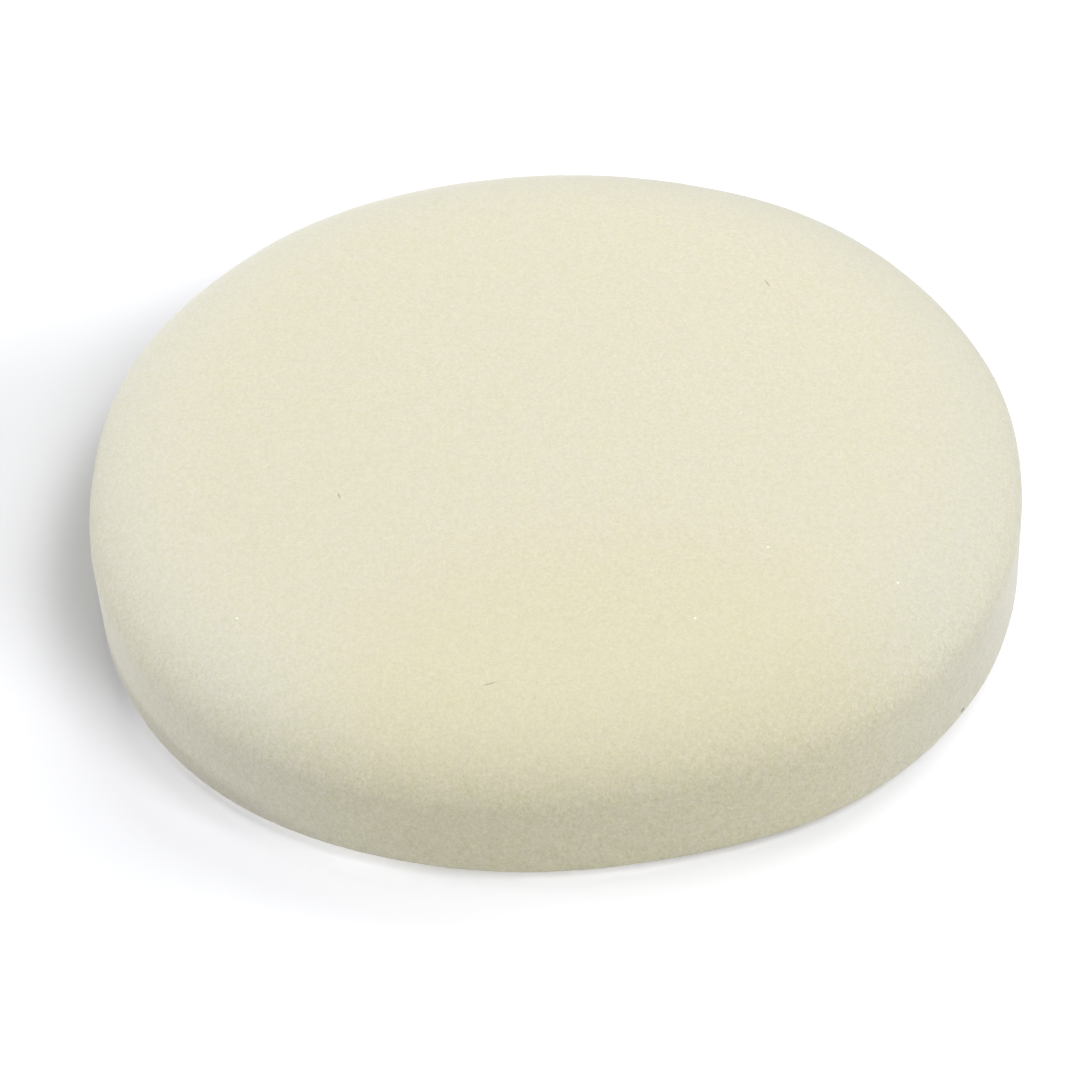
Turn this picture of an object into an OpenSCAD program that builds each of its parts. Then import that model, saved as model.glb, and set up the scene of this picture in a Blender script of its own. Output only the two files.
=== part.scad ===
// Round foam polishing pad: a cream foam disc with a flat working face and a
// rounded rim, glued to a disc of loop fabric that grips a machine's backing plate.
//
// Frame: millimetres, origin at the centre of the loop face, +Z towards the
// working face. The pad lies on its loop face in the plane z = 0.

/* [Pad] */
// Diameter of the foam disc
pad_d = 150; // [80:1:230]
// Height from the loop face to the working face
pad_h = 25; // [15:0.5:50]

/* [Foam] */
// Width of the rounding, from the flat working face out to the side
rim_w = 20; // [2:1:30]
// Depth of the rounding, from the flat working face down to the straight side
rim_drop = 10; // [2:0.5:11]

/* [Backing] */
// How far the backing's edge stays in from the foam's side
backing_inset = 2.5; // [0:0.5:8]
// Thickness of the loop fabric, from its ground cloth to the tips of its loops
fabric_t = 1.7; // [0.8:0.1:3]
// Thickness of the glue film between the fabric and the foam
film_t = 0.3; // [0.1:0.1:0.5]

/* [Hidden] */
foam_r = pad_d / 2;
foam_z = fabric_t + film_t;
foam_h = pad_h - foam_z;
backing_r = foam_r - backing_inset;

// Straight steps along the rounding's curve
rim_steps = 24;
// Facets on a full turn
$fn = 180;

// Half section of the foam disc: the flat base lies on y = 0, the side stands
// straight up, and a quarter ellipse leads over to the flat working face.
module foam_half_section() {
    rounding = [
        for (i = [0:rim_steps])
            let (turn = 90 * i / rim_steps)
            [
                foam_r - rim_w * (1 - cos(turn)),
                foam_h - rim_drop * (1 - sin(turn))
            ]
    ];
    polygon(concat([[0, 0], [foam_r, 0]], rounding, [[0, foam_h]]));
}

// Open-cell foam disc that carries the polish
module foam_disc() {
    color([0.92, 0.90, 0.81])
        translate([0, 0, foam_z])
            rotate_extrude()
                foam_half_section();
}

// Hot-melt film that bonds the foam to the fabric
module adhesive_film() {
    color([0.93, 0.91, 0.84])
        translate([0, 0, fabric_t])
            cylinder(h = film_t, r = backing_r);
}

// Knitted loop fabric that hooks of a backing plate grip
module loop_backing() {
    color([0.95, 0.95, 0.93])
        cylinder(h = fabric_t, r = backing_r);
}

foam_disc();
adhesive_film();
loop_backing();
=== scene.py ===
import math

import bpy
import numpy as np
from mathutils import Matrix, Vector, noise


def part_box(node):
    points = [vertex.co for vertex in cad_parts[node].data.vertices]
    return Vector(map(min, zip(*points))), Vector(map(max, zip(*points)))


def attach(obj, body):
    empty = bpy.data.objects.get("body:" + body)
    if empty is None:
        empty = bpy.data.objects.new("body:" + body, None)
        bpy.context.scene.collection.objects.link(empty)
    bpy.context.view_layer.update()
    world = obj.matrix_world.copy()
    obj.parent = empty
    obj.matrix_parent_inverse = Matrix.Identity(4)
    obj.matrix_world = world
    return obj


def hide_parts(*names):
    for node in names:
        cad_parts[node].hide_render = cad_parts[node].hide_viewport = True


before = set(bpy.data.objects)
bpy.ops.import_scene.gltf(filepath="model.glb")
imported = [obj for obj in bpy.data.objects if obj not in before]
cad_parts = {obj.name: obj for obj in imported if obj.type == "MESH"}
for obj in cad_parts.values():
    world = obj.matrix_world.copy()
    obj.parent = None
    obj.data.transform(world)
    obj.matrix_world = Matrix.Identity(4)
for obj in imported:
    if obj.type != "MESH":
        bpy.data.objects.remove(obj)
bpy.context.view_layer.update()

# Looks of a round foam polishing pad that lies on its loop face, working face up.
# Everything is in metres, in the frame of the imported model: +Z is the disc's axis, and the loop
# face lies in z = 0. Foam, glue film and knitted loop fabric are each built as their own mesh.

MM = 0.001
WAVE_REPEAT = 0.1 * math.pi    # distance between the bands of a wave texture whose scale is 1

# ---------------------------------------------------------------- sizes, from the frame

FOAM_LOW, FOAM_TOP = (corner.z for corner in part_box("foam_disc"))
FOAM_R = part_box("foam_disc")[1].x
FILM_LOW, FILM_TOP = (corner.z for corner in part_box("adhesive_film"))
BACKING_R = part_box("loop_backing")[1].x

RIM_W = 20 * MM            # width of the rounding, from the flat face out to the side
RIM_DROP = 10 * MM         # depth of the rounding, from the flat face down to the straight side
BASE_EDGE_R = 0.8 * MM     # small rounding where the side meets the glued base
CLOTH_T = 0.7 * MM         # ground cloth of the loop fabric, without its loops

# How far the cut outline wanders from a true circle: (amplitude, waves round the disc, phase).
OUTLINE_WANDER = (
    (0.70 * MM, 2, math.radians(-105)),
    (0.40 * MM, 3, math.radians(-70)),
    (0.80 * MM, 4, math.radians(175)),
    (0.15 * MM, 5, math.radians(80)),
    (0.15 * MM, 7, math.radians(25)),
    (0.10 * MM, 10, math.radians(125)),
)

# Lint caught in the working face: (x, y, angle, length) of each short fibre.
LINT_W = 0.15 * MM
LINT = (
    (37.7 * MM, 31.3 * MM, math.radians(-69), 2.4 * MM),
    (-32.9 * MM, -13.7 * MM, math.radians(-77), 1.7 * MM),
    (-11.0 * MM, -56.6 * MM, math.radians(15), 2.2 * MM),
)

# Places on the working face where a glint of a cell wall is painted into the colour, a painted
# highlight: (x, y).
PAINTED_GLINT_R = 0.25 * MM
PAINTED_GLINTS = (
    (31.8 * MM, -32.0 * MM),
    (19.7 * MM, -46.2 * MM),
    (50.3 * MM, -40.8 * MM),
    (-48.2 * MM, -38.8 * MM),
)

# Dark speck on the side, just above the base: its middle and its reach along X, Y and Z.
SPECK = (59.7 * MM, -48.0 * MM, 3.4 * MM)
SPECK_REACH = (0.7 * MM, 0.7 * MM, 0.4 * MM)

# Light that the surroundings give off for the camera alone, where 1 is white: the backdrop, the
# floor near the pad, the line where the pad touches the floor, and the floor beside that line.
BACKDROP_GLOW = 1.2
NEAR_GLOW = 0.18
CONTACT_GLOW = 0.32
EDGE_GLOW = 0.2


# ---------------------------------------------------------------- mesh helpers

def wander(angle):
    """Distance of the cut outline from the true circle, at an angle round the disc."""
    return sum(size * np.cos(waves * angle - phase) for size, waves, phase in OUTLINE_WANDER)


def disc_grid(cells):
    """Square grid of cells x cells quads bent into a unit disc, with even cells.

    Returns the points (n, 2), the quads, and the boundary points' indices anticlockwise."""
    line = np.linspace(-1, 1, cells + 1)
    a, b = np.meshgrid(line, line, indexing="ij")
    safe_a = np.where(a == 0, 1, a)
    safe_b = np.where(b == 0, 1, b)
    wide = np.abs(a) >= np.abs(b)
    radius = np.where(wide, a, b)
    angle = np.where(wide, math.pi / 4 * b / safe_a, math.pi / 2 - math.pi / 4 * a / safe_b)
    points = np.stack([radius * np.cos(angle), radius * np.sin(angle)], -1).reshape(-1, 2)

    index = np.arange((cells + 1) ** 2).reshape(cells + 1, cells + 1)
    quads = np.stack([index[:-1, :-1], index[1:, :-1], index[1:, 1:], index[:-1, 1:]], -1)
    boundary = np.concatenate([index[-1, :-1], index[:0:-1, -1], index[0, :0:-1], index[:-1, 0]])
    return points, quads.reshape(-1, 4), boundary


def band(first, second):
    """Quads between two rings of point indices that run the same way round."""
    return np.stack([first, second, np.roll(second, -1), np.roll(first, -1)], -1)


def new_piece(name, points, faces, material):
    """Mesh object from points and faces, smooth-shaded, riding on the pad."""
    mesh = bpy.data.meshes.new(name)
    mesh.from_pydata(points.tolist(), [], faces)
    mesh.validate()
    mesh.update()
    mesh.shade_smooth()
    mesh.materials.append(material)
    piece = bpy.data.objects.new(name, mesh)
    bpy.context.scene.collection.objects.link(piece)
    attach(piece, "root")
    return piece


def roughen(piece, layers):
    """Moves each point along its normal by layers of noise: (amplitude, wavelength)."""
    mesh = piece.data
    count = len(mesh.vertices)
    points = np.empty(count * 3)
    mesh.vertices.foreach_get("co", points)
    points = points.reshape(-1, 3)
    normals = np.empty(count * 3, np.float32)
    mesh.vertex_normals.foreach_get("vector", normals)
    shift = np.zeros(count)
    for number, (amplitude, wavelength) in enumerate(layers):
        offset = Vector((7.3 * number, 0, 0))
        for i, point in enumerate(points):
            shift[i] += amplitude * noise.noise(Vector(point / wavelength) + offset)
    points += normals.reshape(-1, 3) * shift[:, None]
    mesh.vertices.foreach_set("co", points.ravel())
    mesh.update()


# ---------------------------------------------------------------- material helpers

def new_material(name):
    """Material with a lone Principled shader; returns it, its node tree and the shader."""
    material = bpy.data.materials.new(name)
    material.use_nodes = True
    tree = material.node_tree
    return material, tree, tree.nodes["Principled BSDF"]


def add(tree, kind, inputs=(), **settings):
    """Shader node with its settings, and its inputs as values or as sockets to link."""
    made = tree.nodes.new("ShaderNode" + kind)
    for key, value in settings.items():
        setattr(made, key, value)
    for key, value in dict(inputs).items():
        if isinstance(value, bpy.types.NodeSocket):
            tree.links.new(value, made.inputs[key])
        else:
            made.inputs[key].default_value = value
    return made


def object_place(tree):
    """Socket with the shading point's place in the frame, in metres."""
    return add(tree, "TexCoord").outputs["Object"]


def noise_level(tree, place, size, detail=2.0, roughness=0.5):
    """Socket with noise from 0 to 1 whose largest features are about size across."""
    made = add(tree, "TexNoise", {
        "Vector": place, "Scale": 1 / size, "Detail": detail, "Roughness": roughness})
    return made.outputs["Fac"]


def cell_level(tree, place, size):
    """Socket with the distance to the middle of foam cells of a size, about 0 to 1."""
    made = add(tree, "TexVoronoi", {
        "Vector": place, "Scale": 1 / size, "Smoothness": 0.4}, feature="SMOOTH_F1")
    return made.outputs["Distance"]


def remap(tree, value, low, high, to_low=0.0, to_high=1.0, smooth=False):
    """Socket with value mapped from low..high to to_low..to_high, and clamped."""
    made = add(tree, "MapRange", {
        "Value": value, "From Min": low, "From Max": high, "To Min": to_low, "To Max": to_high},
        interpolation_type="SMOOTHSTEP" if smooth else "LINEAR")
    return made.outputs["Result"]


def maths(tree, operation, first, second):
    """Socket with first and second joined by a maths operation."""
    made = add(tree, "Math", {0: first, 1: second}, operation=operation)
    return made.outputs["Value"]


def weigh(tree, layers):
    """Socket with 0.5 plus each noise's swing about its mean of 0.5, times its weight."""
    total = 0.5 - 0.5 * sum(weight for level, weight in layers)
    for level, weight in layers:
        made = add(tree, "Math", {0: level, 1: weight, 2: total}, operation="MULTIPLY_ADD")
        total = made.outputs["Value"]
    return total


def mix_value(tree, factor, first, second):
    """Socket with first where factor is 0, and second where it is 1."""
    return add(tree, "Mix", {"Factor": factor, "A": first, "B": second}).outputs["Result"]


def mix_colour(tree, factor, first, second, blend="MIX"):
    """Socket with two colours mixed by a factor."""
    made = add(tree, "Mix", {"Factor": factor}, data_type="RGBA", blend_type=blend)
    for key, value in (("A", first), ("B", second)):
        socket = next(s for s in made.inputs if s.name == key and s.type == "RGBA")
        if isinstance(value, bpy.types.NodeSocket):
            tree.links.new(value, socket)
        else:
            socket.default_value = (*value, 1)
    return next(s for s in made.outputs if s.type == "RGBA")


def bump(tree, height, distance):
    """Socket with the normal bent by a height of 0 to 1 that stands for distance metres."""
    return add(tree, "Bump", {"Height": height, "Distance": distance}).outputs["Normal"]


# ---------------------------------------------------------------- materials

def foam_texture(tree, place, side):
    """Socket with the foam's fine mottling as a colour about 1, stronger where side is 1."""
    fine = noise_level(tree, place, 0.3 * MM, detail=0)
    tufts = noise_level(tree, place, 0.7 * MM, detail=0)
    clouds = noise_level(tree, place, 1.8 * MM, detail=0)
    on_face = weigh(tree, ((fine, 0.31), (tufts, 0.19), (clouds, 0.03)))
    on_side = weigh(tree, ((fine, 0.50), (tufts, 0.32), (clouds, 0.11)))
    level = mix_value(tree, side, on_face, on_side)
    dark, light = (0.75, 0.762, 0.65), (1.25, 1.238, 1.35)
    return mix_colour(tree, level, dark, light)


def foam_tint(tree, place):
    """Socket with small uneven swings between a lavender and an olive tint, about 1."""
    fine = noise_level(tree, place, 0.35 * MM, detail=0)
    middling = noise_level(tree, place, 0.8 * MM, detail=0)
    coarse = noise_level(tree, place, 2.0 * MM, detail=0)
    level = weigh(tree, ((fine, 0.65), (middling, 0.60), (coarse, 0.55)))
    lavender, olive = (1.007, 0.988, 1.072), (0.993, 1.012, 0.928)
    return mix_colour(tree, level, lavender, olive)


def spot(tree, place, centre, reach, turn=0.0):
    """Socket that is 1 near a centre and fades to 0 at a reach along X, Y and Z, turned about Z."""
    local = add(tree, "Mapping", {
        "Vector": place, "Location": centre, "Rotation": (0, 0, turn), "Scale": reach},
        vector_type="TEXTURE")
    away = add(tree, "VectorMath", {0: local.outputs["Vector"]}, operation="LENGTH")
    return remap(tree, away.outputs["Value"], 0.5, 1.0, 1.0, 0.0, smooth=True)


def foam_tone(tree, place, side):
    """Socket with the foam's cream.

    It is paler round the rim, a painted sheen, yellower in front and on the side, and darker low on
    the front left, a painted shade."""
    across = add(tree, "VectorMath", {0: place, 1: (1, 1, 0)}, operation="MULTIPLY")
    from_axis = add(tree, "VectorMath", {0: across.outputs["Vector"]}, operation="LENGTH")
    # Painted sheen: the rim is paler, as foam whitens where it is seen at a grazing angle.
    rim = remap(tree, from_axis.outputs["Value"], 0.67 * FOAM_R, FOAM_R, smooth=True)
    front = spot(tree, place, (0.08 * FOAM_R, -FOAM_R, FOAM_TOP), (0.81 * FOAM_R,) * 3)
    # Painted shade: darker at the foot of the side on the front left, where less light reaches it.
    low = spot(
        tree, place, (-0.81 * FOAM_R, -0.55 * FOAM_R, FOAM_LOW),
        (0.54 * FOAM_R, 0.54 * FOAM_R, 6 * MM))
    colour = mix_colour(tree, rim, (0.670, 0.636, 0.493), (0.666, 0.646, 0.531))
    colour = mix_colour(tree, side, colour, (0.669, 0.642, 0.508))
    colour = mix_colour(tree, front, colour, (0.668, 0.632, 0.456))
    return mix_colour(tree, low, colour, (0.565, 0.536, 0.425))


def add_marks(tree, place, colour):
    """Socket with the foam's colour after its lint, painted glint highlights and speck are drawn on
    it.
    """
    for x, y, turn, length in LINT:
        fibre = spot(tree, place, (x, y, FOAM_TOP), (length / 2, LINT_W, RIM_DROP), turn)
        colour = mix_colour(tree, maths(tree, "MULTIPLY", fibre, 0.75), colour, (0.33, 0.28, 0.21))
    # Painted highlights: pale spots where cell walls catch the light.
    for x, y in PAINTED_GLINTS:
        painted_glint = spot(tree, place, (x, y, FOAM_TOP), (PAINTED_GLINT_R, PAINTED_GLINT_R, RIM_DROP))
        colour = mix_colour(tree, painted_glint, colour, (0.93, 0.91, 0.80))
    speck = spot(tree, place, SPECK, SPECK_REACH)
    return mix_colour(tree, maths(tree, "MULTIPLY", speck, 0.8), colour, (0.20, 0.17, 0.12))


def foam_material():
    """Fine open-cell polyurethane foam: cream, mottled, and rougher round the side."""
    material, tree, shader = new_material("cream_foam")
    place = object_place(tree)
    height = add(tree, "SeparateXYZ", {0: place}).outputs["Z"]
    side = remap(
        tree, height, FOAM_TOP - 0.9 * RIM_DROP, FOAM_TOP - 0.1 * RIM_DROP, 1.0, 0.0, smooth=True)

    texture = mix_colour(
        tree, remap(tree, side, 0, 1, 0.75, 1), foam_texture(tree, place, side),
        foam_tint(tree, place), blend="MULTIPLY")
    colour = mix_colour(tree, 1.0, foam_tone(tree, place, side), texture, blend="MULTIPLY")
    tree.links.new(add_marks(tree, place, colour), shader.inputs["Base Color"])

    pores = noise_level(tree, place, 0.5 * MM)
    tree.links.new(remap(tree, pores, 0.3, 0.7, 0.85, 1.0), shader.inputs["Roughness"])
    shader.inputs["Specular IOR Level"].default_value = 0.15
    shader.inputs["Sheen Weight"].default_value = 0.5
    shader.inputs["Sheen Roughness"].default_value = 0.4
    cells = cell_level(tree, place, 0.6 * MM)
    relief = maths(tree, "ADD", maths(tree, "MULTIPLY", cells, -0.5), pores)
    tree.links.new(bump(tree, relief, 0.05 * MM), shader.inputs["Normal"])
    return material


def glue_material():
    """Hot-melt glue film: pale, waxy and slightly uneven."""
    material, tree, shader = new_material("hot_melt_glue")
    place = object_place(tree)
    cloud = noise_level(tree, place, 2.5 * MM, detail=3)
    colour = mix_colour(tree, cloud, (0.80, 0.76, 0.62), (0.88, 0.85, 0.75))
    tree.links.new(colour, shader.inputs["Base Color"])
    tree.links.new(remap(tree, cloud, 0.3, 0.7, 0.35, 0.6), shader.inputs["Roughness"])
    tree.links.new(bump(tree, cloud, 0.1 * MM), shader.inputs["Normal"])
    return material


def cloth_material():
    """Ground cloth of the loop fabric: fine knit with wales along Y."""
    material, tree, shader = new_material("ground_knit")
    place = object_place(tree)
    wale_gap = 0.5 * MM
    wales = add(tree, "TexWave", {
        "Vector": place, "Scale": WAVE_REPEAT / wale_gap, "Distortion": 1.5, "Detail": 2},
        bands_direction="X")
    fibres = noise_level(tree, place, 0.5 * MM, detail=4)
    colour = mix_colour(tree, fibres, (0.66, 0.65, 0.61), (0.82, 0.81, 0.78))
    tree.links.new(colour, shader.inputs["Base Color"])
    shader.inputs["Roughness"].default_value = 0.85
    shader.inputs["Sheen Weight"].default_value = 0.3
    height = maths(tree, "ADD", wales.outputs["Fac"], fibres)
    tree.links.new(bump(tree, height, 0.15 * MM), shader.inputs["Normal"])
    return material


def yarn_material():
    """Nylon yarn of the loops: off-white, with fine filaments and a soft gloss."""
    material, tree, shader = new_material("nylon_loop_yarn")
    place = object_place(tree)
    filaments = noise_level(tree, place, 0.25 * MM, detail=3)
    patches = noise_level(tree, place, 6 * MM)
    colour = mix_colour(tree, filaments, (0.70, 0.69, 0.66), (0.90, 0.89, 0.87))
    colour = mix_colour(tree, remap(tree, patches, 0.4, 0.6, 0, 0.25), colour, (0.80, 0.78, 0.72))
    tree.links.new(colour, shader.inputs["Base Color"])
    tree.links.new(remap(tree, filaments, 0.3, 0.7, 0.45, 0.7), shader.inputs["Roughness"])
    shader.inputs["Sheen Weight"].default_value = 0.2
    tree.links.new(bump(tree, filaments, 0.05 * MM), shader.inputs["Normal"])
    return material


# ---------------------------------------------------------------- the foam disc

def foam_side(step):
    """Rings from the flat face's edge down to the base: (inset from the outline, height)."""
    rings = []
    arc_steps = round(math.pi / 4 * (RIM_W + RIM_DROP) / step)
    for i in range(1, arc_steps + 1):
        turn = math.pi / 2 * i / arc_steps
        rings.append((RIM_W * (1 - math.sin(turn)), FOAM_TOP - RIM_DROP * (1 - math.cos(turn))))
    wall_top = FOAM_TOP - RIM_DROP
    wall_low = FOAM_LOW + BASE_EDGE_R
    wall_steps = round((wall_top - wall_low) / step)
    for i in range(1, wall_steps + 1):
        rings.append((0, wall_top - (wall_top - wall_low) * i / wall_steps))
    base_steps = 3
    for i in range(1, base_steps + 1):
        turn = math.pi / 2 * i / base_steps
        rings.append((BASE_EDGE_R * (1 - math.cos(turn)), wall_low - BASE_EDGE_R * math.sin(turn)))
    return rings


def foam_disc():
    """Foam disc: flat working face, rounded rim, upright side and a flat base to glue to."""
    step = 0.62 * MM
    cells = round(2 * math.pi * FOAM_R / step / 4)
    grid, quads, boundary = disc_grid(cells)
    angle = np.arctan2(grid[:, 1], grid[:, 0])
    share = np.hypot(grid[:, 0], grid[:, 1])
    radius = share * (FOAM_R - RIM_W + share ** 2 * wander(angle))
    level = np.full(len(grid), FOAM_TOP)
    face = np.stack([radius * np.cos(angle), radius * np.sin(angle), level], 1)

    points = [face]
    faces = [quads]
    ring = boundary
    round_angle = angle[boundary]
    outline = FOAM_R + wander(round_angle)
    total = len(face)
    for inset, height in foam_side(step):
        reach = outline - inset
        points.append(np.stack([
            reach * np.cos(round_angle), reach * np.sin(round_angle),
            np.full(len(reach), height)], 1))
        lower = total + np.arange(len(reach))
        faces.append(band(ring, lower))
        ring = lower
        total += len(reach)
    base_r = FOAM_R - 6 * MM
    points.append(np.stack([
        base_r * np.cos(round_angle), base_r * np.sin(round_angle),
        np.full(len(round_angle), FOAM_LOW)], 1))
    lower = total + np.arange(len(round_angle))
    faces.append(band(ring, lower))

    piece = new_piece(
        "foam", np.concatenate(points), np.concatenate(faces).tolist() + [lower[::-1].tolist()],
        foam_material())
    roughen(piece, ((0.03 * MM, 2.2 * MM), (0.06 * MM, 9 * MM), (0.15 * MM, 35 * MM)))
    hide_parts("foam_disc")


# ---------------------------------------------------------------- glue film and loop fabric

def thin_disc(name, radius, low, high, ragged, material):
    """Closed disc with a rounded edge that follows the foam's outline, slightly ragged."""
    cells = 120
    grid, quads, boundary = disc_grid(cells)
    angle = np.arctan2(grid[:, 1], grid[:, 0])
    share = np.hypot(grid[:, 0], grid[:, 1])
    edge = wander(angle) + np.array([
        ragged * noise.noise(Vector((12 * math.cos(a), 12 * math.sin(a), radius / MM)))
        for a in angle])
    inner = 0.3 * (high - low)
    reach = share * (radius - inner + share ** 4 * edge)
    x, y = reach * np.cos(angle), reach * np.sin(angle)
    top = np.stack([x, y, np.full(len(grid), high)], 1)
    bottom = np.stack([x, y, np.full(len(grid), low)], 1)
    grow = 1 + inner / reach[boundary]
    half_way = np.full(len(boundary), (low + high) / 2)
    middle = np.stack([x[boundary] * grow, y[boundary] * grow, half_way], 1)
    count = len(grid)
    ring = 2 * count + np.arange(len(boundary))
    faces = np.concatenate([
        quads, quads[:, ::-1] + count, band(boundary, ring), band(ring, boundary + count)])
    return new_piece(name, np.concatenate([top, bottom, middle]), faces.tolist(), material)


def glue_film():
    """Film of hot-melt glue, squeezed out a little at its edge."""
    piece = thin_disc(
        "glue_film", BACKING_R, FILM_LOW, FILM_TOP, 0.35 * MM, glue_material())
    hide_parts("adhesive_film")


def loop_pile(material):
    """Pile of knitted loops that hang from the ground cloth down to the loop face."""
    spacing = 1.65 * MM
    yarn_r = 0.18 * MM
    root_z = FILM_LOW - 0.6 * CLOTH_T
    path_points = 6
    sides = 3
    rng = np.random.default_rng(11)

    reach = BACKING_R + 2 * MM
    line = np.arange(-reach, reach, spacing)
    x, y = (c.ravel() for c in np.meshgrid(line, line, indexing="ij"))
    x = x + rng.uniform(-0.3, 0.3, x.size) * spacing
    y = y + rng.uniform(-0.3, 0.3, y.size) * spacing
    inside = np.hypot(x, y) < BACKING_R + wander(np.arctan2(y, x)) - 0.8 * MM
    x, y = x[inside], y[inside]
    count = x.size

    heading = rng.normal(0, 0.5, count)
    span = rng.uniform(1.0, 1.5, count) * MM
    height = rng.uniform(0.85, 1.0, count) * (root_z - yarn_r)
    lean = rng.normal(0.5, 0.3, count) * MM
    along = np.stack([np.cos(heading), np.sin(heading), np.zeros(count)], 1)
    across = np.stack([-np.sin(heading), np.cos(heading), np.zeros(count)], 1)
    up = np.array([0, 0, 1])

    t = np.linspace(0, math.pi, path_points)[None, :, None]
    start = np.stack([x, y, np.full(count, root_z)], 1)[:, None, :]
    path = (start - along[:, None] * np.cos(t) * span[:, None, None] / 2
            + across[:, None] * np.sin(t) * lean[:, None, None]
            - up * np.sin(t) * height[:, None, None])
    tangent = np.gradient(path, axis=1)
    tangent /= np.linalg.norm(tangent, axis=2, keepdims=True)
    side = across[:, None] * height[:, None, None] + up * lean[:, None, None]
    side = side / np.linalg.norm(side, axis=2, keepdims=True) + 0 * path
    out = np.cross(side, tangent)
    rings = []
    for i in range(sides):
        turn = 2 * math.pi * i / sides
        rings.append(path + yarn_r * (math.cos(turn) * side + math.sin(turn) * out))
    points = np.stack(rings, 2).reshape(-1, 3)

    index = np.arange(count * path_points * sides).reshape(count, path_points, sides)
    ahead = np.roll(index, -1, axis=2)
    quads = np.stack([index[:, :-1], index[:, 1:], ahead[:, 1:], ahead[:, :-1]], -1).reshape(-1, 4)
    caps = np.concatenate([index[:, 0], index[:, -1, ::-1]])
    return new_piece("loop_pile", points, quads.tolist() + caps.tolist(), material)


def loop_fabric():
    """Knitted fabric: a ground cloth glued to the foam, with a pile of loops under it."""
    cloth = thin_disc(
        "ground_cloth", BACKING_R, FILM_LOW - CLOTH_T, FILM_LOW, 0.5 * MM, cloth_material())
    pile = loop_pile(yarn_material())
    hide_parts("loop_backing")


# ---------------------------------------------------------------- studio

def floor_glow(tree, place):
    """Socket with the floor's glow, which the camera alone sees and which lights nothing.

    It turns the floor white far from the pad, lifts it a little in front and on the right, and
    softens the dark line where the pad touches it in front, most of all at the front left."""
    away = add(tree, "VectorMath", {0: place}, operation="LENGTH").outputs["Value"]
    far = remap(tree, away, 3 * FOAM_R, 6 * FOAM_R, 0, BACKDROP_GLOW, smooth=True)
    left = spot(tree, place, (-1.2 * FOAM_R, 0.2 * FOAM_R, 0), (1.9 * FOAM_R,) * 3)
    near = remap(tree, left, 0, 1, NEAR_GLOW, 0)
    openness = add(tree, "AmbientOcclusion", {"Distance": 4 * MM}).outputs["AO"]
    front = spot(tree, place, (-0.6 * FOAM_R, -0.9 * FOAM_R, 0), (1.1 * FOAM_R,) * 3)
    contact = maths(tree, "MULTIPLY", front, remap(tree, openness, 0.3, 0.6, CONTACT_GLOW, 0))
    corner = spot(tree, place, (-0.7 * FOAM_R, -0.77 * FOAM_R, 0), (0.5 * FOAM_R,) * 3)
    edge = maths(tree, "MULTIPLY", corner, remap(tree, openness, 0.5, 0.95, EDGE_GLOW, 0))
    softened = maths(tree, "ADD", contact, edge)
    glow = maths(tree, "MAXIMUM", far, maths(tree, "ADD", near, softened))
    seen = add(tree, "LightPath").outputs["Is Camera Ray"]
    return maths(tree, "MULTIPLY", glow, seen)


def floor_material():
    """Matt white floor with a painted shadow, a little greyer, on the left of the pad."""
    material, tree, shader = new_material("white_floor")
    place = object_place(tree)
    # Painted shadow: the floor is greyer on the left of the pad, as if shaded by it.
    shade = spot(
        tree, place, (-0.7 * FOAM_R, 0.32 * FOAM_R, 0), (1.1 * FOAM_R, 0.85 * FOAM_R, FOAM_R))
    colour = mix_colour(tree, shade, (0.885, 0.89, 0.925), (0.73, 0.735, 0.75))
    tree.links.new(colour, shader.inputs["Base Color"])
    shader.inputs["Roughness"].default_value = 1
    shader.inputs["Specular IOR Level"].default_value = 0
    tree.links.new(floor_glow(tree, place), shader.inputs["Emission Strength"])
    shader.inputs["Emission Color"].default_value = (1, 1, 1, 1)
    return material


def floor():
    """Plain white floor, with a painted shadow on the left of the pad."""
    size = 4.0
    mesh = bpy.data.meshes.new("floor")
    mesh.from_pydata(
        [(-size, -size, 0), (size, -size, 0), (size, size, 0), (-size, size, 0)],
        [], [(0, 1, 2, 3)])
    mesh.materials.append(floor_material())
    piece = bpy.data.objects.new("floor", mesh)
    bpy.context.scene.collection.objects.link(piece)


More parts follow.
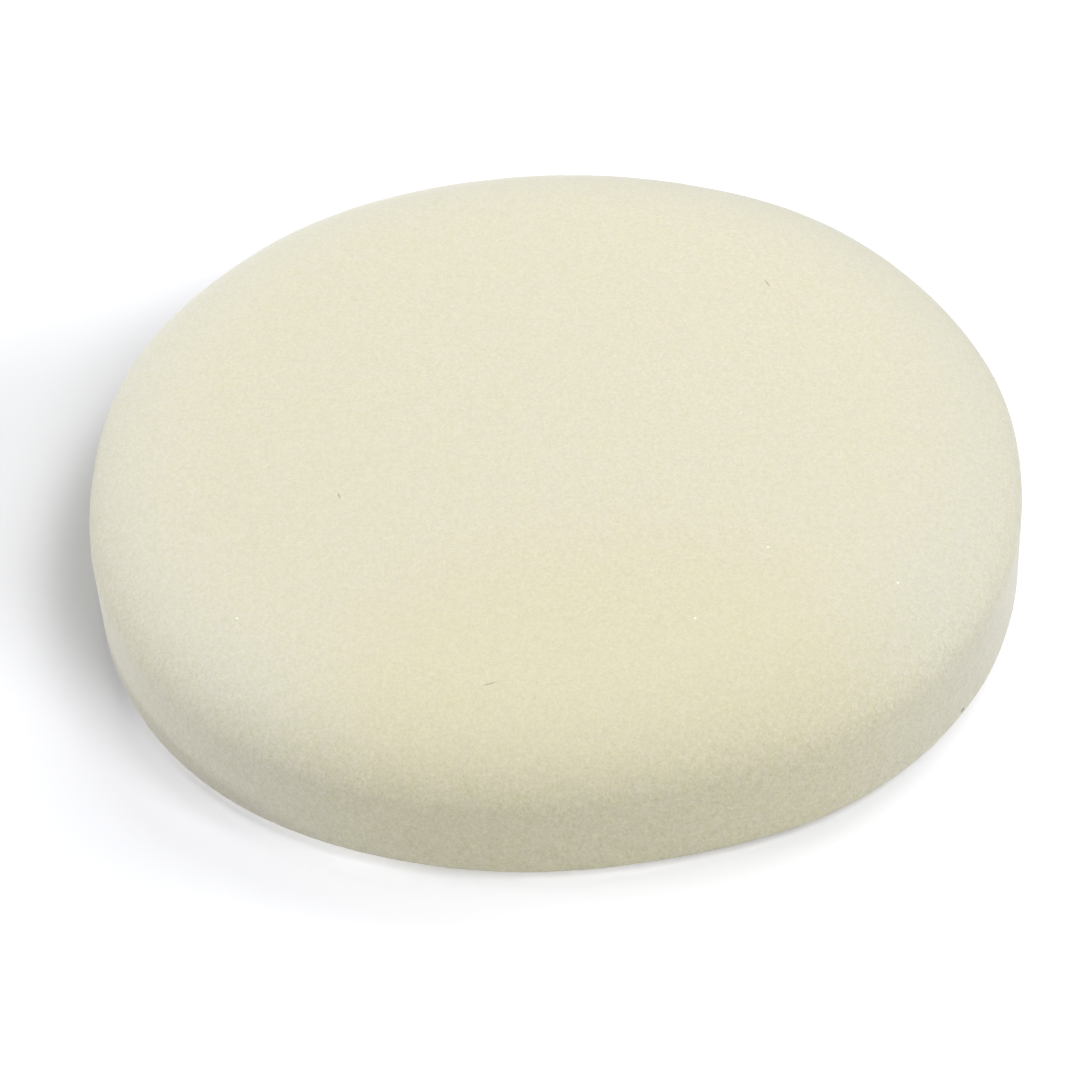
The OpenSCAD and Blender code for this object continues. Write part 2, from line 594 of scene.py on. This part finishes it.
def softbox(name, azimuth, elevation, distance, size, power):
    """Square softbox that faces the pad, in a direction seen from it, in degrees."""
    turn, rise = math.radians(azimuth), math.radians(elevation)
    direction = Vector((
        math.cos(turn) * math.cos(rise), math.sin(turn) * math.cos(rise), math.sin(rise)))
    light = bpy.data.lights.new(name, "AREA")
    light.size = size
    light.energy = power
    lamp = bpy.data.objects.new(name, light)
    lamp.location = distance * direction
    lamp.rotation_euler = direction.to_track_quat("Z", "Y").to_euler()
    lamp.visible_camera = False
    bpy.context.scene.collection.objects.link(lamp)


def surroundings():
    """White behind everything that the camera sees, and next to no light from there."""
    world = bpy.data.worlds.new("studio")
    world.use_nodes = True
    tree = world.node_tree
    seen = add(tree, "LightPath").outputs["Is Camera Ray"]
    background = tree.nodes["Background"]
    background.inputs["Color"].default_value = (1, 1, 1, 1)
    tree.links.new(remap(tree, seen, 0, 1, 0.03, BACKDROP_GLOW), background.inputs["Strength"])
    bpy.context.scene.world = world


def studio():
    """A large softbox in front on the right and a low one on the left, and three small ones."""
    softbox("right_front", -45, 52, 1.3, 0.7, 11.8)
    softbox("low_left", 180, 12, 1.3, 0.7, 6.48)
    softbox("right_back", 45, 52, 0.55, 0.3, 1.19)
    softbox("left_back", 135, 30, 0.55, 0.3, 0.71)
    softbox("above", 180, 72, 0.55, 0.3, 0.63)
    surroundings()
    bpy.context.scene.view_settings.view_transform = "Standard"


def camera():
    """Camera in front of the pad, looking down on it."""
    elevation = math.radians(41.65)
    distance = 7 * FOAM_R
    roll = math.radians(-4.24)
    aim_left = 2.48 * MM
    aim_down = 9.85 * MM
    middle = Vector((0, 0, (FOAM_LOW + FOAM_TOP) / 2))
    back = Vector((0, -math.cos(elevation), math.sin(elevation)))
    right = Vector((1, 0, 0))
    up = back.cross(right)
    eye = middle + distance * back
    aim = middle - aim_left * right - aim_down * up
    data = bpy.data.cameras.new("camera")
    data.lens = 109.35
    data.sensor_width = 36
    data.clip_end = 50
    lens = bpy.data.objects.new("camera", data)
    turned = (aim - eye).to_track_quat("-Z", "Y").to_matrix().to_4x4()
    lens.matrix_world = Matrix.Translation(eye) @ turned @ Matrix.Rotation(roll, 4, "Z")
    bpy.context.scene.collection.objects.link(lens)
    bpy.context.scene.camera = lens


camera()
floor()
studio()
foam_disc()
glue_film()
loop_fabric()
